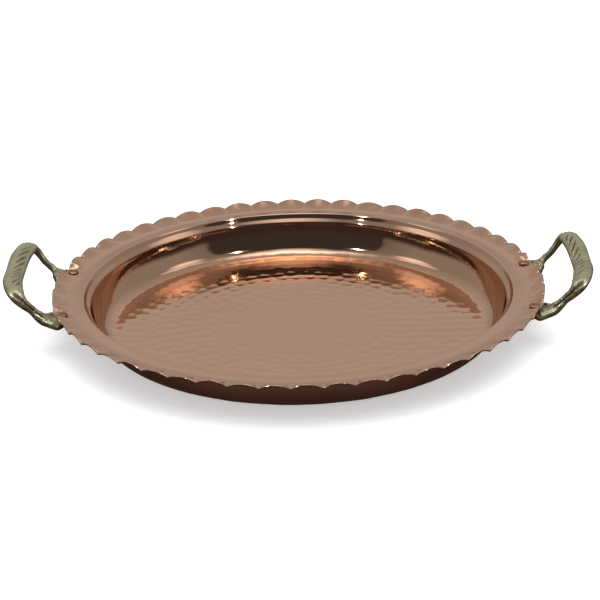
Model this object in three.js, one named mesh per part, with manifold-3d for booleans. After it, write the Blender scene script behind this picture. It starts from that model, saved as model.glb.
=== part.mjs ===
// A round hammered copper tray with a fluted rim and two cast brass handles.
// Millimetres, +Z up. The origin is the centre of the base's underside, and the handles lie on the X axis.
// The dish is one spun sheet. Each handle hangs on the rim by two rivets, one through each of its feet.

import * as THREE from 'three';
import { mergeVertices } from 'three/addons/utils/BufferGeometryUtils.js';
import Module from 'manifold-3d';

const wasm = await Module();
wasm.setup();

// Sheet and clearances
const SHEET = 1.2;
const FIT_GAP = 0.3;

// Dish, by the inner (upper) face of the sheet
// A tight bend leads from the floor into a steep wall that curves gently; angles are the slopes in degrees.
const FLOOR_RADIUS = 126.6;
const BEND_RADIUS = 11.5;
const BEND_SLOPES = [0, 19, 38, 57];
const WALL_RADIUS = 44;
const WALL_SLOPES = [64, 72, 79.5];
const LEDGE = [145.6, 25.6];
const SHOULDER = [147.5, 28.8];
const RIM_MIDDLE = [155.5, 27.9];
const RIM_FLAT = [162.5, 27.6];
const RIM_EDGE = [168.4, 27.6];

// Scallops of the rim: the edge turns up, and between the cusps it is raised a little further.
// Round each rivet the rim is left flat, over the smaller of the two seat radii.
const SCALLOPS = 52;
const EDGE_RISE = 1.9;
const CREST_RISE = 2.7;
const CREST_REACH = 0.15;
const CUSP_ANGLE = -1.6;
const SEAT_RADII = [5.8, 9.5];

// Rivets
const RIVET_RADIUS = 163.4;
const RIVET_ANGLE = 13.8;
const SHANK_RADIUS = 2.0;
const HEAD_RADIUS = 3.7;
const HEAD_HEIGHT = 1.7;
const HEAD_ROOT = RIM_FLAT[1] - 0.5;
const TAIL_RADIUS = 3.3;
const TAIL_HEIGHT = 1.1;

// Handle feet, fan shaped plates under the rim; the outline is (outwards, sideways) from the rivet
const FOOT_TOP = RIM_FLAT[1] - SHEET - FIT_GAP;
const FOOT_THICKNESS = 4.4;
const FOOT_OUTLINE = [[-5.6, 0], [-3.6, 5.2], [1.0, 10.0], [3.6, 14.2], [6.4, 13.8], [9.8, 7.2], [13.4, 4.6]];

// Handle strap, one half from the foot to the middle of the grip: middle line, half width and half depth
const STRAP_LINE = [
  { at: [172.5, 44.1, 26.4], halfWidth: 3.1, halfDepth: 2.6 },
  { at: [178.6, 43.4, 33.9], halfWidth: 3.2, halfDepth: 2.6 },
  { at: [183.4, 46.0, 39.6], halfWidth: 3.9, halfDepth: 2.8 },
  { at: [187.6, 44.8, 44.9], halfWidth: 5.8, halfDepth: 3.2 },
  { at: [192.2, 27.0, 45.9], halfWidth: 6.8, halfDepth: 3.6 },
  { at: [194.2, 0.0, 42.7], halfWidth: 6.6, halfDepth: 3.6 },
];
const STRAP_STEPS = 48;
const STRAP_SIDES = 10;
const BACK_FLATNESS = 0.6;
// The strap's broad face leans outwards from the normal of the plane that the handle stands in.
const STRAP_NORMAL = new THREE.Vector3(-0.787, 0, 0.617);
const STRAP_FLARE = 40;

// Knuckle between a foot and its leg
const KNUCKLE_PLACE = [172.4, 43.4, 26.3];
const KNUCKLE_SIZE = [4.6, 5.6, 3.9];

// Materials
const copper = new THREE.MeshStandardMaterial({ color: 0xb87a5c, roughness: 0.24, metalness: 1.0 });
const rivetCopper = new THREE.MeshStandardMaterial({ color: 0x8f4f38, roughness: 0.35, metalness: 1.0 });
const brass = new THREE.MeshStandardMaterial({ color: 0x87805a, roughness: 0.45, metalness: 1.0 });

// Turns a closed three.js geometry into a solid that can be joined and cut.
function solidOf(geometry) {
  const bare = geometry.clone();
  bare.deleteAttribute('normal');
  bare.deleteAttribute('uv');
  const merged = mergeVertices(bare, 1e-4);
  const index = merged.index.array;
  const kept = [];
  for (let i = 0; i < index.length; i += 3) {
    const [a, b, c] = [index[i], index[i + 1], index[i + 2]];
    if (a !== b && b !== c && c !== a) {
      kept.push(a, b, c);
    }
  }
  const vertProperties = new Float32Array(merged.attributes.position.array);
  const mesh = new wasm.Mesh({ numProp: 3, vertProperties, triVerts: new Uint32Array(kept) });
  return new wasm.Manifold(mesh);
}

// Turns a solid back into a three.js geometry.
function geometryOf(solid) {
  const mesh = solid.getMesh();
  const geometry = new THREE.BufferGeometry();
  geometry.setAttribute('position', new THREE.BufferAttribute(new Float32Array(mesh.vertProperties), 3));
  geometry.setIndex(new THREE.BufferAttribute(new Uint32Array(mesh.triVerts), 1));
  geometry.computeVertexNormals();
  return geometry;
}

// Spins a profile of [radius, height] points about the Z axis.
function spun(profile, segments) {
  const points = profile.map(([radius, height]) => new THREE.Vector2(radius, height));
  const geometry = new THREE.LatheGeometry(points, segments);
  geometry.rotateX(Math.PI / 2);
  return geometry;
}

// The four rivet centres: one angle each side of the X axis, at both ends of it.
function rivetPlaces() {
  const angle = THREE.MathUtils.degToRad(RIVET_ANGLE);
  const along = RIVET_RADIUS * Math.cos(angle);
  const across = RIVET_RADIUS * Math.sin(angle);
  return {
    rivet_left_back: [-along, across],
    rivet_left_front: [-along, -across],
    rivet_right_back: [along, across],
    rivet_right_front: [along, -across],
  };
}

// Points along an arc that starts on the given slope, for each later slope.
function arc([startRadius, startHeight], startSlope, bend, slopes) {
  const start = THREE.MathUtils.degToRad(startSlope);
  return slopes.map((degrees) => {
    const slope = THREE.MathUtils.degToRad(degrees);
    const radius = startRadius + bend * (Math.sin(slope) - Math.sin(start));
    const height = startHeight + bend * (Math.cos(start) - Math.cos(slope));
    return [radius, height];
  });
}

// From the floor's edge to the top of the wall, on the inner face or, grown by the sheet, on the outer.
function cove(growth) {
  const bend = arc([FLOOR_RADIUS, SHEET - growth], 0, BEND_RADIUS + growth, BEND_SLOPES);
  const wall = arc(bend.at(-1), BEND_SLOPES.at(-1), WALL_RADIUS + growth, WALL_SLOPES);
  return [...bend, ...wall];
}

// The sheet's closed profile: along the underside from the axis to the edge, then back over the top.
function dishProfile() {
  const under = [
    [0, 0],
    ...cove(SHEET),
    [LEDGE[0] + 1.0, LEDGE[1] - 0.7],
    [SHOULDER[0] + 0.9, SHOULDER[1] - SHEET],
    [RIM_MIDDLE[0], RIM_MIDDLE[1] - SHEET],
    [RIM_FLAT[0], RIM_FLAT[1] - SHEET],
    [RIM_EDGE[0], RIM_EDGE[1] - SHEET],
  ];
  const top = [[0, SHEET], ...cove(0), LEDGE, SHOULDER, RIM_MIDDLE, RIM_FLAT, RIM_EDGE];
  return [...under, ...top.reverse()];
}

// Lifts the edge into scallops, with a straight fade over the outer part of the rim.
function fluted(geometry) {
  const position = geometry.attributes.position;
  const places = Object.values(rivetPlaces());
  const firstCusp = THREE.MathUtils.degToRad(CUSP_ANGLE);
  for (let i = 0; i < position.count; i += 1) {
    const x = position.getX(i);
    const y = position.getY(i);
    const radius = Math.hypot(x, y);
    const toRivet = Math.min(...places.map(([px, py]) => Math.hypot(x - px, y - py)));
    const seat = THREE.MathUtils.smoothstep(toRivet, ...SEAT_RADII);
    const fade = seat * THREE.MathUtils.clamp((radius - RIM_FLAT[0]) / (RIM_EDGE[0] - RIM_FLAT[0]), 0, 1);
    const wave = Math.abs(Math.sin(((Math.atan2(y, x) - firstCusp) * SCALLOPS) / 2));
    const stretch = 1 + (fade * wave * CREST_REACH) / Math.max(radius, 1);
    const lift = fade * (EDGE_RISE + wave * CREST_RISE);
    position.setXYZ(i, x * stretch, y * stretch, position.getZ(i) + lift);
  }
  return geometry;
}

function dishBlank() {
  const blank = spun(dishProfile(), SCALLOPS * 2);
  blank.rotateZ(THREE.MathUtils.degToRad(CUSP_ANGLE));
  return solidOf(fluted(blank));
}

// A drill for a rivet's hole, with clearance round the shank.
function drill([x, y]) {
  const cutter = new THREE.CylinderGeometry(SHANK_RADIUS + FIT_GAP, SHANK_RADIUS + FIT_GAP, 30, 20);
  cutter.rotateX(Math.PI / 2);
  cutter.translate(x, y, RIM_FLAT[1]);
  return solidOf(cutter);
}

function dishGeometry(blank) {
  const drilled = Object.values(rivetPlaces()).reduce((solid, place) => solid.subtract(drill(place)), blank);
  return geometryOf(drilled);
}

// The domed head is seated on the rim's own shape; the shank and the peened tail hold the foot under it.
function rivetGeometry([x, y], blank) {
  const rise = HEAD_HEIGHT + RIM_FLAT[1] + FIT_GAP - HEAD_ROOT;
  const dome = [[0, HEAD_ROOT], [HEAD_RADIUS, HEAD_ROOT]];
  for (const degrees of [25, 50, 72]) {
    const angle = THREE.MathUtils.degToRad(degrees);
    dome.push([HEAD_RADIUS * Math.cos(angle), HEAD_ROOT + rise * Math.sin(angle)]);
  }
  dome.push([0, HEAD_ROOT + rise]);
  const head = solidOf(spun(dome, 20).translate(x, y, 0))
    .subtract(blank.translate([0, 0, FIT_GAP]))
    .subtract(blank.translate([0, 0, FIT_GAP - SHEET * 0.9]));

  const footBottom = FOOT_TOP - FOOT_THICKNESS;
  const tailTop = footBottom - FIT_GAP;
  const shank = [
    [0, tailTop - TAIL_HEIGHT],
    [TAIL_RADIUS * 0.7, tailTop - TAIL_HEIGHT],
    [TAIL_RADIUS, tailTop - TAIL_HEIGHT * 0.4],
    [TAIL_RADIUS, tailTop],
    [SHANK_RADIUS, tailTop],
    [SHANK_RADIUS, RIM_FLAT[1] + HEAD_HEIGHT / 2],
    [0, RIM_FLAT[1] + HEAD_HEIGHT / 2],
  ];
  return geometryOf(head.add(solidOf(spun(shank, 20).translate(x, y, 0))));
}

// The strap's stations from foot to foot: the half above and its mirror image.
function strapStations() {
  const mirrored = STRAP_LINE.slice(0, -1).map((station) => {
    const [x, y, z] = station.at;
    return { ...station, at: [x, -y, z] };
  });
  return [...STRAP_LINE, ...mirrored.reverse()];
}

// A smooth curve through three numbers of each station.
function throughStations(stations, pick) {
  const points = stations.map((station) => new THREE.Vector3(...pick(station)));
  return new THREE.CatmullRomCurve3(points, false, 'centripetal');
}

// A cylinder bent along the strap: slim legs that swell into a broad grip, domed in front, flatter behind.
function strapGeometry() {
  const stations = strapStations();
  const middle = throughStations(stations, (station) => station.at);
  const section = throughStations(stations, (station) => [station.halfWidth, station.halfDepth, 0]);
  const geometry = new THREE.CylinderGeometry(1, 1, 1, STRAP_SIDES, STRAP_STEPS);
  const position = geometry.attributes.position;
  const flare = THREE.MathUtils.degToRad(-STRAP_FLARE);
  const face = new THREE.Vector3();
  const side = new THREE.Vector3();
  for (let i = 0; i < position.count; i += 1) {
    const across = position.getX(i);
    const deep = position.getZ(i);
    const along = THREE.MathUtils.clamp(position.getY(i) + 0.5, 0, 1);
    const tangent = middle.getTangent(along);
    side.crossVectors(tangent, STRAP_NORMAL).normalize();
    face.crossVectors(side, tangent).normalize();
    side.applyAxisAngle(tangent, flare);
    face.applyAxisAngle(tangent, flare);
    const half = section.getPoint(along);
    const flattened = deep < 0 ? deep * BACK_FLATNESS : deep;
    const point = middle.getPoint(along);
    point.addScaledVector(side, across * half.x).addScaledVector(face, flattened * half.y);
    position.setXYZ(i, point.x, point.y, point.z);
  }
  return geometry;
}

// One foot on the side given by the sign: the fan plate and the knuckle that rises outside the rim.
function footSolid(sign) {
  const left = FOOT_OUTLINE.map(([out, across]) => new THREE.Vector2(out, across));
  const right = FOOT_OUTLINE.slice(1).map(([out, across]) => new THREE.Vector2(out, -across));
  const outline = new THREE.Shape([...left.reverse(), ...right]);
  const plate = new THREE.ExtrudeGeometry(outline, { depth: FOOT_THICKNESS, bevelEnabled: false });
  plate.translate(RIVET_RADIUS, 0, FOOT_TOP - FOOT_THICKNESS);
  plate.rotateZ(sign * THREE.MathUtils.degToRad(RIVET_ANGLE));

  const knuckle = new THREE.SphereGeometry(1, 12, 8);
  knuckle.scale(...KNUCKLE_SIZE);
  knuckle.translate(KNUCKLE_PLACE[0], sign * KNUCKLE_PLACE[1], KNUCKLE_PLACE[2]);
  return solidOf(plate).add(solidOf(knuckle));
}

function handleGeometry() {
  const cast = solidOf(strapGeometry()).add(footSolid(1)).add(footSolid(-1));
  const places = rivetPlaces();
  return geometryOf(cast.subtract(drill(places.rivet_right_back)).subtract(drill(places.rivet_right_front)));
}

function named(name, geometry, material) {
  const mesh = new THREE.Mesh(geometry, material);
  mesh.name = name;
  return mesh;
}

const blank = dishBlank();
const group = new THREE.Group();
group.add(named('tray_dish', dishGeometry(blank), copper));

const handle = handleGeometry();
const handleLeft = named('handle_left', handle, brass);
handleLeft.rotation.z = Math.PI;
group.add(named('handle_right', handle, brass), handleLeft);

for (const [name, place] of Object.entries(rivetPlaces())) {
  group.add(named(name, rivetGeometry(place, blank), rivetCopper));
}

export default group;
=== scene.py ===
import math

import bpy
import numpy as np
from mathutils import Matrix, Vector


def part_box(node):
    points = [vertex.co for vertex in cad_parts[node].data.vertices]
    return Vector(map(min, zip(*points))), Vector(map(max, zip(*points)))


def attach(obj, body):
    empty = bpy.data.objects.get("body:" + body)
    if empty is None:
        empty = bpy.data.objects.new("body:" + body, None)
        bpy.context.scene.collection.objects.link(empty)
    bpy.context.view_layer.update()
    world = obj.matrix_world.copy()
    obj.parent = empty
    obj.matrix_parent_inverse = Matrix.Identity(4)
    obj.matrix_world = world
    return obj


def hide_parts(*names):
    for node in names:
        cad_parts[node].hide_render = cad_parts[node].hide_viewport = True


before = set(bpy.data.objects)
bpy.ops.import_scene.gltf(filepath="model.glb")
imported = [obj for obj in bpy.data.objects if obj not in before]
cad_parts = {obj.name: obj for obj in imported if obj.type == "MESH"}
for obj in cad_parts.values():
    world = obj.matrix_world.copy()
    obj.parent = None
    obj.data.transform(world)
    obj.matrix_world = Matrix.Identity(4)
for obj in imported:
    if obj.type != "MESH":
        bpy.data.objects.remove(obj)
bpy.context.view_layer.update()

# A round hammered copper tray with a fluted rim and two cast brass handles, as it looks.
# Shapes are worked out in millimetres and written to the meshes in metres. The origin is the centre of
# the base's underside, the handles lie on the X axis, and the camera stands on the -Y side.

MM = 0.001
SHEET = 1.2

# Meridian of the dish, by the upper face of the sheet. Ends are slopes in degrees. Points are (radius,
# height): the top of the wall, the outer end of the ledge and the shoulder, and then the rim.
FLOOR_RADIUS = 126.6
BEND_RADIUS = 11.5
WALL_RADIUS = 44.0
BEND_END, WALL_END = 57.0, 79.5
STEP_POINTS = [(142.85, 23.3), (145.6, 25.6), (147.3, 28.7)]
RIM_POINTS = [(151.5, 28.3), (156.5, 27.85), (162.5, 27.6)]
RIM_EDGE = 167.8
CORNER_ROUNDING = 0.38
SHOULDER_ROUNDING = 0.62
RIM_ROUNDING = 2.0
EDGE_ROUNDS = 3

# Scallops of the rim: the edge turns up, and between the cusps it is raised a little further.
SCALLOPS = 52
CUSP_ANGLE = math.radians(-1.6)
EDGE_RISE = 1.9
CREST_RISE = 2.7
CREST_REACH = 0.15
EDGE_START = 153.5
FLUTE_START = 158.5
FLUTE_SPREAD = 0.14
SCALLOP_FULLNESS = 0.82
# Distances from a rivet: the rim is flat up to the first, and has its full shape from the second on
SEAT_RADII = (5.0, 9.5)

# Hammer marks: shallow dents in rings, side by side, longer round the tray than across it. They are weaker
# inside the middle's radii, and end between the fade's.
DENT_PITCH = 7.6
DENT_LENGTH = 10.4
DENT_RADIUS = 68.0
DENT_JITTER = 0.21
DENT_RINGS = 17
DENT_FADE = (129.5, 136.0)
DENT_CENTRE = (10.0, 90.0)

# Rings of the dish mesh
TURN = 624
FEWEST_IN_RING = 26
HALVING_RADIUS = 70.0
FLOOR_STEP = 1.6
# Distance between rings along the sheet, up to a radius
RING_STEPS = [
    (FLOOR_RADIUS - 2, FLOOR_STEP),
    (141.8, 0.9),
    (149.5, 0.42),
    (FLUTE_START, 1.3),
    (math.inf, 0.85),
]
UNDER_COARSENESS = 3

# Rivets
SHANK_RADIUS = 2.0
HOLE_RADIUS = 2.3
HEAD_RADIUS = 3.7
HEAD_HEIGHT = 1.7
TAIL_RADIUS = 3.3
TAIL_HEIGHT = 1.1
FIT_GAP = 0.3
RIM_FLAT = 27.6
FOOT_THICKNESS = 4.4
RIVET_SIDES = 48
HOLE_SIDES = 32
DRILL_HEIGHTS = (10.0, 40.0)

# Handle, one half from the tip of a foot to the middle of the grip. Foot stations are measured outwards
# from the rivet; the others are places. Each has a half width and a half depth.
FOOT_MIDDLE = 23.9
FOOT_STATIONS = [(-5.6, 2.4, 1.5), (-3.6, 5.6, 2.1), (1.0, 10.0, 2.2), (4.6, 13.6, 2.2), (7.2, 12.6, 2.3)]
COLLAR_STATIONS = [
    ((168.6, 41.7, 24.9), 8.6, 2.6),
    ((171.6, 43.1, 26.9), 5.4, 2.9),
    ((174.8, 43.7, 29.9), 3.8, 2.7),
]
COLLAR_SHARES = (0.1, 0.4, 0.8)
STRAP_STATIONS = [
    ((178.6, 43.4, 33.9), 3.2, 2.6),
    ((183.4, 46.0, 39.6), 3.9, 2.8),
    ((187.6, 44.8, 44.9), 5.8, 3.2),
    ((192.2, 27.0, 45.9), 6.8, 3.6),
    ((194.2, 0.0, 42.7), 6.6, 3.6),
]
HANDLE_PLANE_NORMAL = np.array([-0.787, 0.0, 0.617])
STRAP_FLARE = math.radians(40)
STRAP_BACK = 0.6
HANDLE_STEPS = 420
HANDLE_SIDES = 104
GRIP_REACH = 47.0
LEG_REACH = 76.0
SLIT_PITCH = 9.0
SLIT_LEAN = 2.0
# Painted shade: how much the brass is darkened towards both edges of the strap
EDGE_PAINTED_SHADE = 0.4

# Camera, in millimetres
CAMERA_PLACE = np.array([12.1, -1409.3, 602.0])
CAMERA_TARGET = np.array([0.96, 0.0, 19.26])
CAMERA_ROLL = -0.0228
CAMERA_LENS = 132.7

rng = np.random.default_rng(52)
RIVETS = {
    name: (np.array(low[:2]) + np.array(high[:2])) / 2 / MM
    for name, (low, high) in ((name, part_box(name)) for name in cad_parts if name.startswith("rivet"))
}


# ---------------------------------------------------------------- small helpers

def smoothstep(value, low, high):
    share = np.clip((value - low) / (high - low), 0, 1)
    return share * share * (3 - 2 * share)


def ramp(value, low, high):
    """A straight rise from 0 to 1 with a softened start."""
    share = np.clip((value - low) / (high - low), 0, 1)
    return (np.sqrt(share * share + 0.01) - 0.1) / (math.sqrt(1.01) - 0.1)


def smoothed(values, sigma):
    """Gaussian smoothing of a row of numbers that keeps both its ends."""
    reach = int(math.ceil(sigma * 3))
    kernel = np.exp(-0.5 * (np.arange(-reach, reach + 1) / sigma) ** 2)
    before = 2 * values[0] - values[reach:0:-1]
    after = 2 * values[-1] - values[-2:-reach - 2:-1]
    return np.convolve(np.concatenate([before, values, after]), kernel / kernel.sum(), "valid")


def unit(vectors):
    return vectors / np.linalg.norm(vectors, axis=-1, keepdims=True)


def mesh_object(name, vertices, faces, attributes=()):
    """A smooth shaded mesh object from vertices in millimetres, with named numbers for each vertex."""
    mesh = bpy.data.meshes.new(name)
    mesh.from_pydata((np.asarray(vertices) * MM).tolist(), [], faces)
    for attribute, values in attributes:
        layer = mesh.attributes.new(attribute, "FLOAT", "POINT")
        layer.data.foreach_set("value", np.asarray(values, np.float32))
    mesh.shade_smooth()
    mesh.update()
    piece = bpy.data.objects.new(name, mesh)
    bpy.context.scene.collection.objects.link(piece)
    return piece


def ring_faces(inner, inner_count, outer, outer_count):
    """Faces between two rings of vertices, given by their first index and count, seen from above."""
    faces = []
    if inner_count == outer_count:
        for j in range(inner_count):
            k = (j + 1) % inner_count
            faces.append((inner + j, outer + j, outer + k, inner + k))
    elif outer_count == 2 * inner_count:
        for j in range(inner_count):
            k = (j + 1) % inner_count
            middle, end = outer + 2 * j + 1, outer + (2 * j + 2) % outer_count
            faces.append((inner + j, outer + 2 * j, middle))
            faces.append((inner + j, middle, inner + k))
            faces.append((inner + k, middle, end))
    else:
        for j in range(outer_count):
            k = (j + 1) % outer_count
            middle, end = inner + 2 * j + 1, inner + (2 * j + 2) % inner_count
            faces.append((outer + j, middle, inner + 2 * j))
            faces.append((outer + j, outer + k, middle))
            faces.append((outer + k, end, middle))
    return faces


def cut(piece, tools):
    """Cuts the tool meshes out of a piece for good, and removes the tools."""
    for tool in tools:
        modifier = piece.modifiers.new("cut", "BOOLEAN")
        modifier.operation = "DIFFERENCE"
        modifier.solver = "MANIFOLD"
        modifier.object = tool
    bpy.context.view_layer.update()
    evaluated = piece.evaluated_get(bpy.context.evaluated_depsgraph_get())
    carved = bpy.data.meshes.new_from_object(evaluated)
    piece.modifiers.clear()
    piece.data = carved
    piece.data.materials.clear()
    piece.data.shade_smooth()
    for tool in tools:
        bpy.data.objects.remove(tool)


def drills():
    """One upright cylinder for each rivet hole."""
    tools = []
    sides = HOLE_SIDES
    angles = np.arange(sides) * math.tau / sides
    for name, place in RIVETS.items():
        circle = np.stack([np.cos(angles), np.sin(angles)], 1) * HOLE_RADIUS + place
        low, high = (np.column_stack([circle, np.full(sides, height)]) for height in DRILL_HEIGHTS)
        faces = [tuple(reversed(range(sides))), tuple(range(sides, 2 * sides))]
        faces += [(j, (j + 1) % sides, (j + 1) % sides + sides, j + sides) for j in range(sides)]
        tools.append(mesh_object(f"drill_{name}", np.vstack([low, high]), faces))
    return tools


# ---------------------------------------------------------------- dish

def meridian():
    """The upper face as closely spaced radii and heights with rounded corners, and the run along it."""
    points = [(0.0, SHEET), (FLOOR_RADIUS, SHEET)]
    for bend, start, end in ((BEND_RADIUS, 0.0, BEND_END), (WALL_RADIUS, BEND_END, WALL_END)):
        slopes = np.radians(np.linspace(start, end, 30))
        radius, height = points[-1]
        for slope in slopes[1:]:
            outwards = bend * (math.sin(slope) - math.sin(slopes[0]))
            upwards = bend * (math.cos(slopes[0]) - math.cos(slope))
            points.append((radius + outwards, height + upwards))
    shoulder_index = len(points) + len(STEP_POINTS) - 1
    points += [*STEP_POINTS, *RIM_POINTS, (RIM_EDGE, RIM_FLAT)]
    radius, height = np.array(points).T
    run = np.concatenate([[0], np.cumsum(np.hypot(np.diff(radius), np.diff(height)))])
    spacing = 0.1
    even = np.arange(0, run[-1], spacing)
    radius, height = np.interp(even, run, radius), np.interp(even, run, height)
    shoulder = run[shoulder_index]
    turned = smoothstep(even, shoulder - 2.0, shoulder - 0.8)
    soft = smoothstep(even, shoulder + 1.0, shoulder + 4.0)
    rows = []
    for values in (radius, height):
        row = smoothed(values, CORNER_ROUNDING / spacing)
        row = row * (1 - turned) + smoothed(values, SHOULDER_ROUNDING / spacing) * turned
        row = row * (1 - soft) + smoothed(values, RIM_ROUNDING / spacing) * soft
        rows.append(row)
    return even, rows[0], rows[1]


RUN, RUN_RADIUS, RUN_HEIGHT = meridian()
DENT_ROWS = [
    max(5, round(math.tau * DENT_PITCH * (row + 0.5) / DENT_LENGTH)) for row in range(DENT_RINGS)
]
DENT_OFFSETS = [rng.uniform(-DENT_JITTER, DENT_JITTER, (count, 2)) for count in DENT_ROWS]
DENT_PHASES = rng.uniform(0, 1, DENT_RINGS)
SCALLOP_SIZES = 1 + rng.uniform(-FLUTE_SPREAD, FLUTE_SPREAD, SCALLOPS)


def hammered(radius, angle):
    """Height of the hammered face above the bottoms of the dents, each of them a bowl round its middle."""
    row = np.clip((radius / DENT_PITCH).astype(int), 0, DENT_RINGS - 1)
    nearest = np.full(radius.shape, 1e9)
    counts = np.array(DENT_ROWS)
    starts = np.concatenate([[0], np.cumsum(counts)])[:-1]
    offsets = np.vstack(DENT_OFFSETS)
    for row_shift in (-1, 0, 1):
        near = np.clip(row + row_shift, 0, DENT_RINGS - 1)
        place = angle / math.tau % 1 * counts[near] - DENT_PHASES[near]
        for cell_shift in (-1, 0, 1):
            cell = np.round(place).astype(int) + cell_shift
            nudge = offsets[starts[near] + cell % counts[near]] * DENT_PITCH
            cell_angle = (cell + DENT_PHASES[near]) / counts[near] * math.tau
            off = angle - cell_angle
            outwards = radius * np.cos(off) - (near + 0.5) * DENT_PITCH - nudge[..., 0]
            along = (radius * np.sin(off) - nudge[..., 1]) * DENT_PITCH / DENT_LENGTH
            nearest = np.minimum(nearest, outwards ** 2 + along ** 2)
    strength = 1 - smoothstep(radius, *DENT_FADE)
    strength *= 0.25 + 0.75 * smoothstep(radius, *DENT_CENTRE)
    return nearest / (2 * DENT_RADIUS) * strength


def sheet_top(run, angle):
    """Points of the upper face at a run along the meridian and an angle."""
    radius = np.interp(run, RUN, RUN_RADIUS)
    height = np.interp(run, RUN, RUN_HEIGHT)
    turns = (angle - CUSP_ANGLE) / math.tau * SCALLOPS
    size = SCALLOP_SIZES[np.floor(turns).astype(int) % SCALLOPS]
    wave = np.abs(np.sin(turns * math.pi)) ** SCALLOP_FULLNESS * size
    x, y = radius * np.cos(angle), radius * np.sin(angle)
    apart = np.min([np.hypot(x - place[0], y - place[1]) for place in RIVETS.values()], axis=0)
    seat = smoothstep(apart, *SEAT_RADII)
    edge = seat * ramp(radius, EDGE_START, RIM_EDGE)
    flute = seat * wave * ramp(radius, FLUTE_START, RIM_EDGE)
    outward = radius + flute * CREST_REACH
    lift = edge * EDGE_RISE + flute * CREST_RISE + hammered(radius, angle)
    return np.stack([outward * np.cos(angle), outward * np.sin(angle), height + lift], -1)


def sheet_normal(run, angle):
    """Upward normals of the upper face, with the direction that leads outwards along it."""
    run = np.maximum(run, 0.5)
    outwards = unit(sheet_top(run + 0.15, angle) - sheet_top(run - 0.15, angle))
    spread = 0.2 / np.maximum(np.interp(run, RUN, RUN_RADIUS), 1)
    sideways = unit(sheet_top(run, angle + spread) - sheet_top(run, angle - spread))
    normal = unit(np.cross(outwards, sideways))
    return normal, unit(np.cross(sideways, normal))


def ring_runs(coarseness):
    """Runs of the mesh's rings from the middle outwards: close together where the sheet bends."""
    runs = [FLOOR_STEP]
    while runs[-1] < RUN[-1] - 0.4:
        radius = np.interp(runs[-1], RUN, RUN_RADIUS)
        step = next(step for limit, step in RING_STEPS if radius < limit)
        runs.append(runs[-1] + step * coarseness)
    runs[-1] = RUN[-1]
    return runs


def turn_count(radius, finest):
    """Number of vertices in a ring, halved again and again towards the middle."""
    count = finest
    while count > FEWEST_IN_RING and count % 2 == 0 and radius < HALVING_RADIUS * count / finest:
        count //= 2
    return count


def ring_angles(count, radius):
    """Angles of a ring, drawn together at the cusps of the rim."""
    share = np.arange(count) / count * SCALLOPS
    pull = 0.55 * smoothstep(radius, 140, 158)
    share = share - pull * np.sin(math.tau * share) / math.tau
    return CUSP_ANGLE + share / SCALLOPS * math.tau


def tray_piece():
    """The dish as one closed sheet: upper face, rounded edge and underside."""
    vertices, under, rings = [], [], []
    total = 0

    def add_ring(points, below):
        nonlocal total
        rings.append((total, len(points)))
        vertices.append(points)
        under.append(np.full(len(points), below))
        total += len(points)

    add_ring(np.array([[0.0, 0.0, SHEET]]), 0.0)
    for run in ring_runs(1):
        radius = float(np.interp(run, RUN, RUN_RADIUS))
        angles = ring_angles(turn_count(radius, TURN), radius)
        add_ring(sheet_top(np.full(angles.shape, run), angles), 0.0)
    angles = ring_angles(TURN, RIM_EDGE)
    edge_run = np.full(TURN, RUN[-1])
    edge = sheet_top(edge_run, angles)
    normal, outwards = sheet_normal(edge_run, angles)
    core = edge - normal * SHEET / 2
    for step in range(1, EDGE_ROUNDS + 1):
        turn = math.pi * step / (EDGE_ROUNDS + 1)
        bulge = normal * math.cos(turn) + outwards * math.sin(turn)
        add_ring(core + bulge * SHEET / 2, 0.0)
    for run in reversed(ring_runs(UNDER_COARSENESS)):
        radius = float(np.interp(run, RUN, RUN_RADIUS))
        finest = TURN if radius > FLUTE_START - 4 else TURN // 2
        angles = ring_angles(turn_count(radius, finest), radius)
        runs = np.full(angles.shape, run)
        add_ring(sheet_top(runs, angles) - sheet_normal(runs, angles)[0] * SHEET, 1.0)
    add_ring(np.array([[0.0, 0.0, 0.0]]), 1.0)

    faces = []
    first, count = rings[1]
    faces += [(0, first + j, first + (j + 1) % count) for j in range(count)]
    for (inner, inner_count), (outer, outer_count) in zip(rings[1:-2], rings[2:-1]):
        faces += ring_faces(inner, inner_count, outer, outer_count)
    first, count = rings[-2]
    faces += [(rings[-1][0], first + (j + 1) % count, first + j) for j in range(count)]
    return mesh_object("tray_sheet", np.vstack(vertices), faces, [("underside", np.concatenate(under))])


# ---------------------------------------------------------------- rivets

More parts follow.
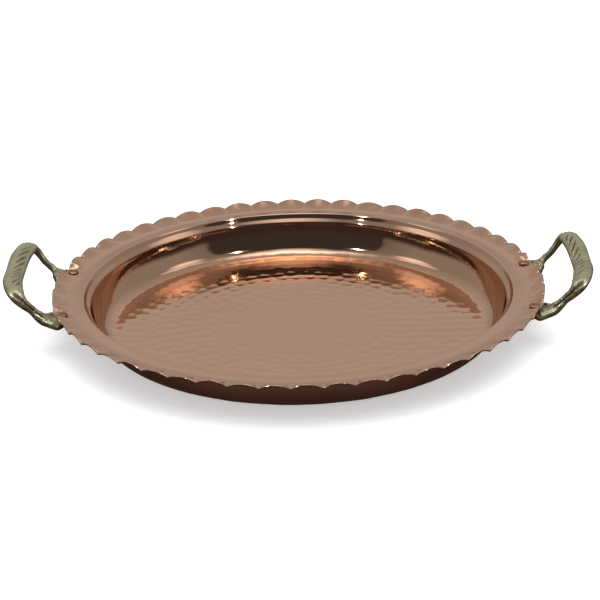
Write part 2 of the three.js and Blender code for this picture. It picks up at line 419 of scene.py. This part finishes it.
def rivet_piece(name, place):
    """A rivet turned about its own axis: domed head on the rim, shank, and peened tail under the foot."""
    foot_bottom = RIM_FLAT - SHEET - FIT_GAP - FOOT_THICKNESS
    tail_top = foot_bottom - FIT_GAP / 2
    head_bottom = RIM_FLAT + 0.05
    profile = [(0.0, tail_top - TAIL_HEIGHT)]
    for degrees in range(15, 91, 15):
        turn = math.radians(degrees)
        profile.append((TAIL_RADIUS * math.sin(turn) ** 0.7, tail_top - TAIL_HEIGHT * math.cos(turn)))
    profile += [(SHANK_RADIUS, tail_top), (SHANK_RADIUS, head_bottom), (HEAD_RADIUS - 0.25, head_bottom)]
    for degrees in range(0, 90, 10):
        turn = math.radians(degrees)
        rise = (HEAD_HEIGHT - 0.35 * (1 - math.cos(turn))) * math.sin(turn)
        profile.append((HEAD_RADIUS * math.cos(turn), head_bottom + 0.25 + rise))
    profile.append((0.0, profile[-1][1]))
    sides = RIVET_SIDES
    angles = np.arange(sides) * math.tau / sides
    oval = 0.03 * np.sin(2 * angles + rng.uniform(0, 6))
    wobble = 1 + oval + 0.02 * np.sin(5 * angles + rng.uniform(0, 6))
    vertices = [(place[0], place[1], profile[0][1])]
    for radius, height in profile[1:-1]:
        shape = wobble if radius > SHANK_RADIUS else 1
        for x, y in np.stack([np.cos(angles), np.sin(angles)], 1) * (radius * np.reshape(shape, (-1, 1))):
            vertices.append((place[0] + x, place[1] + y, height))
    vertices.append((place[0], place[1], profile[-1][1]))
    faces = [(0, 1 + (j + 1) % sides, 1 + j) for j in range(sides)]
    for ring in range(len(profile) - 3):
        low = 1 + ring * sides
        for j in range(sides):
            k = (j + 1) % sides
            faces.append((low + j, low + k, low + sides + k, low + sides + j))
    last = len(vertices) - 1
    faces += [(last, last - sides + j, last - sides + (j + 1) % sides) for j in range(sides)]
    return mesh_object(f"{name}_copper", vertices, faces)


# ---------------------------------------------------------------- handles

def spline(knots, values, at):
    """Cubic curve through values at uneven knots, with the slopes of its neighbours."""
    slopes = np.gradient(values, knots, axis=0)
    place = np.clip(np.searchsorted(knots, at, "right") - 1, 0, len(knots) - 2)
    width = (knots[place + 1] - knots[place])[:, None]
    t = (at - knots[place])[:, None] / width
    start = (2 * t ** 3 - 3 * t ** 2 + 1) * values[place]
    start += (t ** 3 - 2 * t ** 2 + t) * width * slopes[place]
    end = (3 * t ** 2 - 2 * t ** 3) * values[place + 1]
    end += (t ** 3 - t ** 2) * width * slopes[place + 1]
    return start + end


def handle_stations():
    """Place, half width, half depth and share of strap for each station, from foot to foot."""
    rivet = RIVETS["rivet_right_back"]
    outward = unit(rivet)
    rows = []
    for distance, half_width, half_depth in FOOT_STATIONS:
        rows.append([*(rivet + outward * distance), FOOT_MIDDLE, half_width, half_depth, 0.0])
    for share, (place, half_width, half_depth) in zip(COLLAR_SHARES, COLLAR_STATIONS):
        rows.append([*place, half_width, half_depth, share])
    for place, half_width, half_depth in STRAP_STATIONS:
        rows.append([*place, half_width, half_depth, 1.0])
    half = np.array(rows)
    mirrored = half[-2::-1] * np.array([1, -1, 1, 1, 1, 1])
    return np.vstack([half, mirrored])


def lumps(run, across, seed):
    """Uneven casting surface, mostly between -1 and 1."""
    dice = np.random.default_rng(seed)
    total = np.zeros(run.shape)
    for period in (13.0, 8.5, 6.1, 4.3, 3.2):
        turn = dice.uniform(0, math.tau)
        lean = dice.uniform(-0.9, 0.9)
        along = np.sin(math.tau * (run + lean * across) / period + turn)
        sideways = math.tau * (across - lean * run * 0.3) / (period * 1.2)
        total = total + along * np.cos(sideways + dice.uniform(0, math.tau))
    return total / 3.2


def relief(run, across, half_width, seed):
    """Height of the cast ornament on the upper face: a row of slanted slits along the inner half of the
    grip, a groove down each leg with a pocket at its top, and uneven collars. Run is measured from the
    middle of the grip, and across goes from -1 at the inner edge to 1 at the outer one."""
    q = across * half_width
    rough = lumps(run, q, seed)
    slant = (run + SLIT_LEAN * q + 0.8 * np.sin(run / 17.0 + seed)) / SLIT_PITCH
    slit = np.exp(-(((slant % 1 - 0.5) / (0.2 + 0.06 * rough)) ** 2))
    row = smoothstep(q, -5.2, -3.2) * (1 - smoothstep(q, 0.2, 2.0))
    grip = 1 - smoothstep(np.abs(run), GRIP_REACH - 14, GRIP_REACH - 5)
    ornament = grip * row * (0.5 - (1.4 + 0.5 * rough) * slit)
    leg = smoothstep(np.abs(run), GRIP_REACH - 1, GRIP_REACH + 5)
    leg = leg * (1 - smoothstep(np.abs(run), LEG_REACH - 8, LEG_REACH - 2))
    groove = np.exp(-(((across - 0.1) / 0.17) ** 2))
    pocket = np.exp(-(((np.abs(run) - GRIP_REACH) / 2.0) ** 2) - ((across - 0.35) / 0.24) ** 2)
    collar = smoothstep(np.abs(run), LEG_REACH - 6, LEG_REACH)
    collar = collar * (1 - smoothstep(np.abs(run), LEG_REACH + 8, LEG_REACH + 12))
    uneven = (0.22 + 0.55 * collar + 0.2 * leg) * rough
    return ornament + uneven - 1.0 * leg * groove - 1.0 * pocket


def handle_piece(name, side):
    """One cast handle from foot to foot. Side is 1 for the right one, and -1 turns it half round."""
    stations = handle_stations()
    gaps = np.linalg.norm(np.diff(stations[:, :3], axis=0), axis=1)
    knots = np.concatenate([[0], np.cumsum(gaps ** 0.5)])
    fine = spline(knots, stations, np.linspace(0, knots[-1], 4000))
    gaps = np.linalg.norm(np.diff(fine[:, :3], axis=0), axis=1)
    length = np.concatenate([[0], np.cumsum(gaps)])
    runs = np.linspace(0, length[-1], HANDLE_STEPS + 1)
    rows = np.stack([np.interp(runs, length, fine[:, column]) for column in range(6)], 1)
    middle, half_width, half_depth, strap = rows[:, :3], rows[:, 3:4], rows[:, 4:5], rows[:, 5:6]
    tangent = unit(np.gradient(middle, axis=0))

    upright = unit(np.cross(HANDLE_PLANE_NORMAL, tangent))
    level = unit(np.cross(upright, tangent))
    strap_side = upright * math.cos(STRAP_FLARE) + level * math.sin(STRAP_FLARE)
    foot_side = unit(np.cross(np.array([0.0, 0.0, 1.0]), tangent))
    across_axis = foot_side * (1 - strap) + strap_side * strap
    across_axis = unit(across_axis - tangent * np.sum(across_axis * tangent, 1, keepdims=True))
    face_axis = np.cross(tangent, across_axis)

    angles = np.arange(HANDLE_SIDES) * math.tau / HANDLE_SIDES
    squareness = 0.55 + 0.35 * strap
    across = np.sign(np.cos(angles)) * np.abs(np.cos(angles)) ** squareness
    deep = np.sign(np.sin(angles)) * np.abs(np.sin(angles)) ** squareness
    back = 1 - (1 - STRAP_BACK) * strap
    deep = np.where(deep < 0, deep * back, deep)
    from_middle = (runs - runs[-1] / 2)[:, None] * np.ones_like(across)
    on_face = smoothstep(np.sin(angles), 0.0, 0.3)
    height = relief(from_middle, across, half_width, 7 + side) * on_face
    end = np.minimum(runs, runs[-1] - runs)[:, None]
    close = np.sqrt(1 - (1 - np.clip(end / 1.6, 0.04, 1)) ** 2)
    points = (
        middle[:, None]
        + across_axis[:, None] * (across * half_width * close)[..., None]
        + face_axis[:, None] * (deep * half_depth * close + height)[..., None]
    )
    points = points * np.array([side, side, 1])

    vertices = points.reshape(-1, 3)
    faces = []
    for step in range(HANDLE_STEPS):
        low = step * HANDLE_SIDES
        for j in range(HANDLE_SIDES):
            k = (j + 1) % HANDLE_SIDES
            faces.append((low + j, low + HANDLE_SIDES + j, low + HANDLE_SIDES + k, low + k))
    faces.append(tuple(range(HANDLE_SIDES)))
    last = HANDLE_STEPS * HANDLE_SIDES
    faces.append(tuple(range(last + HANDLE_SIDES - 1, last - 1, -1)))
    # Share of dark colour: patina in the hollows of the relief, plus painted shade along both edges of the
    # strap
    dark_patina_and_edge_shade = np.clip(0.25 - height * 1.1 + EDGE_PAINTED_SHADE * smoothstep(np.abs(across), 0.78, 1.0), 0, 1)
    return mesh_object(name, vertices, faces, [("dark_patina_and_edge_shade", dark_patina_and_edge_shade.reshape(-1))])


# ---------------------------------------------------------------- materials

COPPER = (0.79, 0.488, 0.333)
COPPER_CLOUD = (0.74, 0.448, 0.30)
COPPER_FLECK = (0.68, 0.40, 0.28)
COPPER_UNDERSIDE = (0.62, 0.34, 0.24)
RIVET_COPPER = (0.50, 0.28, 0.21)
RIVET_TARNISH = (0.30, 0.15, 0.11)
BRASS = (0.68, 0.64, 0.42)
BRASS_CLOUD = (0.52, 0.49, 0.31)
# Dark olive patina for the hollows, also used as painted shade at the edges of the handles
BRASS_PATINA_AND_SHADE = (0.085, 0.083, 0.05)
BRASS_PIT = (0.16, 0.16, 0.09)
FLOOR_PALE = (0.86, 0.86, 0.85)
FLOOR_CLOUD = (0.84, 0.84, 0.83)


class Nodes:
    """Builds the nodes of a material or of the world. Inputs are sockets or plain numbers."""

    def __init__(self, owner):
        self.tree = owner.node_tree

    def add(self, kind, **settings):
        node = self.tree.nodes.new(kind)
        for key, value in settings.items():
            setattr(node, key, value)
        return node

    def link(self, source, target):
        self.tree.links.new(source, target)

    def math(self, operation, first, second=None):
        node = self.add("ShaderNodeMath", operation=operation)
        for socket, value in zip(node.inputs, (first, second)):
            if value is None:
                continue
            if isinstance(value, (int, float)):
                socket.default_value = value
            else:
                self.link(value, socket)
        return node.outputs[0]

    def spread(self, value, low, high, to_low, to_high):
        """Maps low to high onto the other two numbers, and stays at their ends outside that range."""
        node = self.add("ShaderNodeMapRange", clamp=True)
        self.link(value, node.inputs["Value"])
        ends = {"From Min": low, "From Max": high, "To Min": to_low, "To Max": to_high}
        for key, number in ends.items():
            node.inputs[key].default_value = number
        return node.outputs["Result"]

    def blend(self, share, first, second):
        """Mixes two colours, each a socket or a tuple, by the share of the second one."""
        node = self.add("ShaderNodeMix", data_type="RGBA")
        for socket, value in zip((node.inputs[0], node.inputs[6], node.inputs[7]), (share, first, second)):
            if isinstance(value, tuple):
                socket.default_value = (*value, 1.0)
            else:
                self.link(value, socket)
        return node.outputs[2]

    def mix(self, share, first, second):
        """Mixes two numbers, each a socket or a plain one, by the share of the second one."""
        node = self.add("ShaderNodeMix", data_type="FLOAT")
        for socket, value in zip((node.inputs[0], node.inputs[2], node.inputs[3]), (share, first, second)):
            if isinstance(value, (int, float)):
                socket.default_value = value
            else:
                self.link(value, socket)
        return node.outputs[0]


class MaterialNodes(Nodes):
    """Nodes of a new material, with its shader and the place on the object."""

    def __init__(self, name):
        self.material = bpy.data.materials.new(name)
        self.material.use_nodes = True
        super().__init__(self.material)
        self.shader = self.tree.nodes["Principled BSDF"]
        self.place = self.add("ShaderNodeTexCoord").outputs["Object"]

    def noise(self, scale, detail=3.0, vector=None, roughness=0.55):
        node = self.add("ShaderNodeTexNoise")
        node.inputs["Scale"].default_value = scale
        node.inputs["Detail"].default_value = detail
        node.inputs["Roughness"].default_value = roughness
        self.link(vector or self.place, node.inputs["Vector"])
        return node.outputs["Fac"]

    def bump(self, height, strength, distance, normal=None):
        node = self.add("ShaderNodeBump")
        node.inputs["Strength"].default_value = strength
        node.inputs["Distance"].default_value = distance
        self.link(height, node.inputs["Height"])
        if normal is not None:
            self.link(normal, node.inputs["Normal"])
        return node.outputs["Normal"]


def polar(nodes):
    """Radius from the tray's axis, angle round it and height above its base, at each shaded place."""
    split = nodes.add("ShaderNodeSeparateXYZ")
    nodes.link(nodes.place, split.inputs[0])
    squares = [nodes.math("MULTIPLY", split.outputs[i], split.outputs[i]) for i in (0, 1)]
    radius = nodes.math("SQRT", nodes.math("ADD", *squares))
    angle = nodes.math("ARCTAN2", split.outputs[1], split.outputs[0])
    return radius, angle, split.outputs[2]


def copper_material():
    """Polished copper with clouds, flecks and turning marks; the rim and the underside are duller."""
    nodes = MaterialNodes("copper_sheet")
    radius, angle, height = polar(nodes)
    underside = nodes.add("ShaderNodeAttribute", attribute_name="underside").outputs["Fac"]

    cloud = nodes.noise(14.0, 4.0)
    fleck = nodes.noise(90.0, 5.0, roughness=0.65)
    tone = nodes.blend(nodes.spread(cloud, 0.35, 0.7, 0.0, 0.5), COPPER, COPPER_CLOUD)
    tone = nodes.blend(nodes.spread(fleck, 0.6, 0.8, 0.0, 0.35), tone, COPPER_FLECK)
    tone = nodes.blend(nodes.math("MULTIPLY", underside, 0.5), tone, COPPER_UNDERSIDE)
    nodes.link(tone, nodes.shader.inputs["Base Color"])

    rings = nodes.add("ShaderNodeCombineXYZ")
    nodes.link(nodes.math("MULTIPLY", radius, 900.0), rings.inputs[0])
    nodes.link(nodes.math("MULTIPLY", angle, 1.6), rings.inputs[1])
    nodes.link(nodes.math("MULTIPLY", height, 900.0), rings.inputs[2])
    turned = nodes.noise(1.0, 3.0, rings.outputs[0])
    on_rim = nodes.spread(radius, 0.148, 0.156, 0.0, 0.06)
    polish = nodes.spread(nodes.noise(30.0, 4.0), 0.3, 0.75, 0.025, 0.065)
    scuff = nodes.spread(turned, 0.45, 0.8, 0.0, 0.035)
    rough = nodes.math("ADD", nodes.math("ADD", polish, scuff), on_rim)
    rough = nodes.math("ADD", rough, nodes.math("MULTIPLY", underside, 0.12))
    nodes.link(rough, nodes.shader.inputs["Roughness"])

    normal = nodes.bump(turned, 0.05, 0.0004)
    normal = nodes.bump(nodes.noise(60.0, 3.0), 0.10, 0.0006, normal)
    nodes.link(normal, nodes.shader.inputs["Normal"])
    nodes.shader.inputs["Metallic"].default_value = 1.0
    return nodes.material


def rivet_material():
    """Darkened copper with a satin face."""
    nodes = MaterialNodes("copper_rivet")
    cloud = nodes.noise(220.0, 4.0)
    tone = nodes.blend(nodes.spread(cloud, 0.35, 0.7, 0.0, 1.0), RIVET_COPPER, RIVET_TARNISH)
    nodes.link(tone, nodes.shader.inputs["Base Color"])
    nodes.link(nodes.spread(cloud, 0.3, 0.75, 0.26, 0.42), nodes.shader.inputs["Roughness"])
    nodes.link(nodes.bump(nodes.noise(700.0, 3.0), 0.25, 0.0004), nodes.shader.inputs["Normal"])
    nodes.shader.inputs["Metallic"].default_value = 1.0
    return nodes.material


def brass_material():
    """Cast brass with fine pits, with dark patina in its recesses and painted shade at its edges."""
    nodes = MaterialNodes("cast_brass")
    dark_patina_and_edge_shade = nodes.add("ShaderNodeAttribute", attribute_name="dark_patina_and_edge_shade").outputs["Fac"]
    cloud = nodes.noise(70.0, 4.0)
    pits = nodes.noise(520.0, 4.0, roughness=0.65)
    tone = nodes.blend(nodes.spread(cloud, 0.3, 0.7, 0.0, 1.0), BRASS, BRASS_CLOUD)
    # Patina in the hollows and painted shade at the edges, with a little random spread
    patina_and_shade_share = nodes.math("ADD", dark_patina_and_edge_shade, nodes.spread(cloud, 0.3, 0.7, -0.12, 0.12))
    tone = nodes.blend(nodes.spread(patina_and_shade_share, 0.3, 0.95, 0.0, 0.9), tone, BRASS_PATINA_AND_SHADE)
    tone = nodes.blend(nodes.spread(pits, 0.64, 0.78, 0.0, 0.25), tone, BRASS_PIT)
    nodes.link(tone, nodes.shader.inputs["Base Color"])
    rough = nodes.spread(patina_and_shade_share, 0.1, 0.8, 0.24, 0.55)
    rough = nodes.math("ADD", rough, nodes.spread(pits, 0.4, 0.7, 0.0, 0.14))
    nodes.link(rough, nodes.shader.inputs["Roughness"])
    normal = nodes.bump(cloud, 0.25, 0.0012)
    nodes.link(nodes.bump(pits, 0.12, 0.0003, normal), nodes.shader.inputs["Normal"])
    nodes.shader.inputs["Metallic"].default_value = 1.0
    return nodes.material


def floor_material():
    """Pale matt paper that glows a little, so that the shadow on it stays faint."""
    nodes = MaterialNodes("pale_floor")
    tone = nodes.blend(nodes.noise(3.0, 4.0), FLOOR_PALE, FLOOR_CLOUD)
    nodes.link(tone, nodes.shader.inputs["Base Color"])
    nodes.link(nodes.spread(nodes.noise(40.0), 0.3, 0.7, 0.75, 0.85), nodes.shader.inputs["Roughness"])
    nodes.link(nodes.bump(nodes.noise(300.0), 0.03, 0.0005), nodes.shader.inputs["Normal"])
    nodes.shader.inputs["Specular IOR Level"].default_value = 0.2
    nodes.shader.inputs["Emission Color"].default_value = (1.0, 1.0, 1.0, 1.0)
    nodes.shader.inputs["Emission Strength"].default_value = FLOOR_GLOW
    return nodes.material


# ---------------------------------------------------------------- light, floor and camera

FRONT_WALL_LIGHT = 0.20
SIDE_WALL_LIGHT = 0.30
BACK_WALL_LIGHT = 0.43
BACK_GLOW = 0.08
OPENING_LIGHT = 0.045
OPENING_EDGES = (-49.5, -46.5, 49.5, 52.5)
OPENING_WIDENING = 5.5
OPENING_TOP = (61, 74)
HORIZON_LIGHT = 0.045
TABLE_LIGHT = 0.085
BACK_TABLE_LIGHT = 0.04
TABLE_COLOUR = (1.0, 0.68, 0.60)
CEILING_LIGHT = 0.7
CEILING_MIDDLE = 0.04
CEILING_SIDES = (0.07, 0.28)
SKYLIGHT = 1.05
SKYLIGHT_PLACE = 0.1
SKYLIGHT_SQUEEZE = 0.6
HORIZON_RISE = (15, -2)
BACKDROP_LIGHT = 0.95
BACKDROP_COLOUR = (1.0, 0.99, 0.975)
FLOOR_GLOW = 0.42
FLOOR_RINGS = [300, 800, 2000, 6000, 20000]
# Soft windows at the sides: azimuth, elevation, angular radius and light
WINDOWS = [
    (84, 43, 11, 1.0),
    (106, 53, 12, 0.6),
    (-88, 45, 11, 1.0),
    (-108, 53, 12, 0.7),
]
LAMP_DISTANCE = 2.5
LAMP_SIZE = (0.05, 0.09)
LAMP_POWER = 13


def direction(azimuth, elevation):
    """Unit vector to a place round the tray; azimuth is measured from the camera's side to the right."""
    turn, rise = math.radians(azimuth), math.radians(elevation)
    return math.cos(rise) * math.sin(turn), -math.cos(rise) * math.cos(turn), math.sin(rise)


def world_light():
    """The room that the metal reflects: mid toned walls with soft windows at the sides, a dark opening in
    front, a bright ceiling and a dark table. Everything else sees one plain pale backdrop."""
    world = bpy.data.worlds.new("tent")
    world.use_nodes = True
    bpy.context.scene.world = world
    nodes = Nodes(world)
    background = nodes.tree.nodes["Background"]
    towards = nodes.add("ShaderNodeTexCoord").outputs["Generated"]
    split = nodes.add("ShaderNodeSeparateXYZ")
    nodes.link(towards, split.inputs[0])
    x, y, z = split.outputs
    rise = nodes.math("MULTIPLY", nodes.math("ARCSINE", z), 180 / math.pi)
    turn = nodes.math("ARCTAN2", x, nodes.math("MULTIPLY", y, -1.0))
    turn = nodes.math("MULTIPLY", turn, 180 / math.pi)

    around = nodes.math("ABSOLUTE", turn)
    back = nodes.spread(around, 110, 175, 0.0, BACK_WALL_LIGHT - SIDE_WALL_LIGHT)
    light = nodes.math("ADD", nodes.spread(around, 54, 76, FRONT_WALL_LIGHT, SIDE_WALL_LIGHT), back)
    glow = nodes.spread(rise, 15, 27, -0.6, 1.0)
    glow = nodes.math("MULTIPLY", glow, nodes.spread(rise, 29, 44, 1.0, 0.0))
    glow = nodes.math("MULTIPLY", glow, nodes.spread(around, 120, 165, 0.0, BACK_GLOW))
    light = nodes.math("ADD", light, glow)
    widening = nodes.spread(rise, 0, 28, 0.0, OPENING_WIDENING)
    left = nodes.spread(nodes.math("ADD", turn, widening), *OPENING_EDGES[:2], 0.0, 1.0)
    right = nodes.spread(nodes.math("SUBTRACT", turn, widening), *OPENING_EDGES[2:], 1.0, 0.0)
    top = nodes.spread(rise, *OPENING_TOP, 1.0, 0.0)
    opening = nodes.math("MULTIPLY", nodes.math("MULTIPLY", left, right), top)
    light = nodes.mix(opening, light, OPENING_LIGHT)
    for azimuth, elevation, radius, strength in WINDOWS:
        turned = nodes.add("ShaderNodeVectorMath", operation="DOT_PRODUCT")
        nodes.link(towards, turned.inputs[0])
        turned.inputs[1].default_value = direction(azimuth, elevation)
        edge = math.cos(math.radians(radius))
        window = nodes.spread(turned.outputs["Value"], edge, 1.0, 0.0, strength)
        light = nodes.math("ADD", light, window)
    aside = nodes.math("ABSOLUTE", nodes.math("SUBTRACT", x, CEILING_MIDDLE))
    ceiling = nodes.spread(aside, *CEILING_SIDES, 1.0, 0.0)
    ceiling = nodes.math("MULTIPLY", ceiling, nodes.spread(y, 0.2, 0.42, 1.0, 0.0))
    ceiling = nodes.math("MULTIPLY", ceiling, nodes.spread(rise, 60, 74, 0.0, CEILING_LIGHT))
    light = nodes.math("ADD", light, ceiling)
    off_x = nodes.math("POWER", nodes.math("MULTIPLY", x, SKYLIGHT_SQUEEZE), 2.0)
    off_y = nodes.math("POWER", nodes.math("SUBTRACT", y, SKYLIGHT_PLACE), 2.0)
    apart = nodes.math("SQRT", nodes.math("ADD", off_x, off_y))
    overhead = nodes.spread(apart, 0.06, 0.26, SKYLIGHT, 0.0)
    overhead = nodes.math("MULTIPLY", overhead, nodes.spread(z, 0.0, 0.1, 0.0, 1.0))
    light = nodes.math("ADD", light, overhead)
    table = nodes.spread(rise, -38, -12, TABLE_LIGHT, HORIZON_LIGHT)
    table = nodes.mix(nodes.spread(rise, -85, -60, 1.0, 0.0), table, BACK_TABLE_LIGHT)
    table = nodes.mix(nodes.spread(y, -0.3, 0.3, 0.0, 1.0), table, BACK_TABLE_LIGHT)
    above = nodes.math("SUBTRACT", rise, nodes.spread(y, -0.2, 0.6, *HORIZON_RISE))
    on_table = nodes.spread(above, -3, 3, 1.0, 0.0)
    light = nodes.mix(on_table, light, table)

    in_metal = nodes.add("ShaderNodeLightPath").outputs["Is Glossy Ray"]
    seen_table = nodes.math("MULTIPLY", on_table, in_metal)
    colour = nodes.blend(seen_table, BACKDROP_COLOUR, TABLE_COLOUR)
    nodes.link(colour, background.inputs["Color"])
    nodes.link(nodes.mix(in_metal, BACKDROP_LIGHT, light), background.inputs["Strength"])


def aim(thing, place, target):
    """Puts a light at a place and turns it towards a target, both in metres."""
    thing.location = place
    thing.rotation_euler = (Vector(target) - Vector(place)).to_track_quat("-Z", "Y").to_euler()


def lamp(name, azimuth, elevation, distance, size, power, in_metal):
    """A lamp of a width and height that either glints in the metal or softly lights the floor."""
    light = bpy.data.lights.new(name, "AREA")
    light.shape = "ELLIPSE"
    light.size, light.size_y = size
    light.energy = power
    thing = bpy.data.objects.new(name, light)
    bpy.context.scene.collection.objects.link(thing)
    aim(thing, Vector(direction(azimuth, elevation)) * distance, (0, 0, 0))
    thing.visible_camera = False
    thing.visible_glossy = in_metal
    thing.visible_diffuse = not in_metal


def floor_piece():
    """A wide, round, pale floor under the tray. The metal reflects the room's dark table instead."""
    count = 64
    vertices = [(0, 0, 0)]
    for radius in FLOOR_RINGS:
        for j in range(count):
            turn = math.tau * j / count
            vertices.append((radius * math.cos(turn), radius * math.sin(turn), 0))
    faces = [(0, 1 + j, 1 + (j + 1) % count) for j in range(count)]
    for ring in range(len(FLOOR_RINGS) - 1):
        faces += ring_faces(1 + ring * count, count, 1 + (ring + 1) * count, count)
    ground = mesh_object("floor", np.array(vertices, float), faces)
    ground.visible_glossy = False
    return ground


def camera():
    """A long lens on the front side, looking down at the tray and turned a little about its own axis."""
    forward = unit(CAMERA_TARGET - CAMERA_PLACE)
    right = unit(np.cross(forward, (0, 0, 1)))
    above = np.cross(right, forward)
    turned_right = right * math.cos(CAMERA_ROLL) + above * math.sin(CAMERA_ROLL)
    turned_above = above * math.cos(CAMERA_ROLL) - right * math.sin(CAMERA_ROLL)
    lens = bpy.data.cameras.new("camera")
    lens.lens = CAMERA_LENS
    lens.sensor_width = 36
    lens.clip_start = 0.05
    lens.clip_end = 100
    thing = bpy.data.objects.new("camera", lens)
    bpy.context.scene.collection.objects.link(thing)
    matrix = Matrix.Identity(4)
    for column, axis in enumerate((turned_right, turned_above, -forward, CAMERA_PLACE * MM)):
        for row in range(3):
            matrix[row][column] = axis[row]
    thing.matrix_world = matrix
    bpy.context.scene.camera = thing


# ---------------------------------------------------------------- assembly

copper, rivet_copper, brass = copper_material(), rivet_material(), brass_material()

tray = tray_piece()
cut(tray, drills())
tray.data.materials.append(copper)
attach(tray, "root")
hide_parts("tray_dish")

for name, side in (("handle_right", 1), ("handle_left", -1)):
    handle = handle_piece(f"{name}_brass", side)
    cut(handle, drills())
    handle.data.materials.append(brass)
    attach(handle, "root")
    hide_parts(name)

for name, place in RIVETS.items():
    rivet = rivet_piece(name, place)
    rivet.data.materials.append(rivet_copper)
    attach(rivet, "root")
    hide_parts(name)

floor = floor_piece()
floor.data.materials.append(floor_material())

world_light()
lamp("lamp_right", 48, 52, LAMP_DISTANCE, LAMP_SIZE, LAMP_POWER, in_metal=True)
lamp("lamp_left", -47, 52, LAMP_DISTANCE, LAMP_SIZE, LAMP_POWER, in_metal=True)
lamp("soft_key", 10, 75, 3.0, (3.0, 3.0), 40, in_metal=False)
camera()
bpy.context.scene.view_settings.view_transform = "Standard"
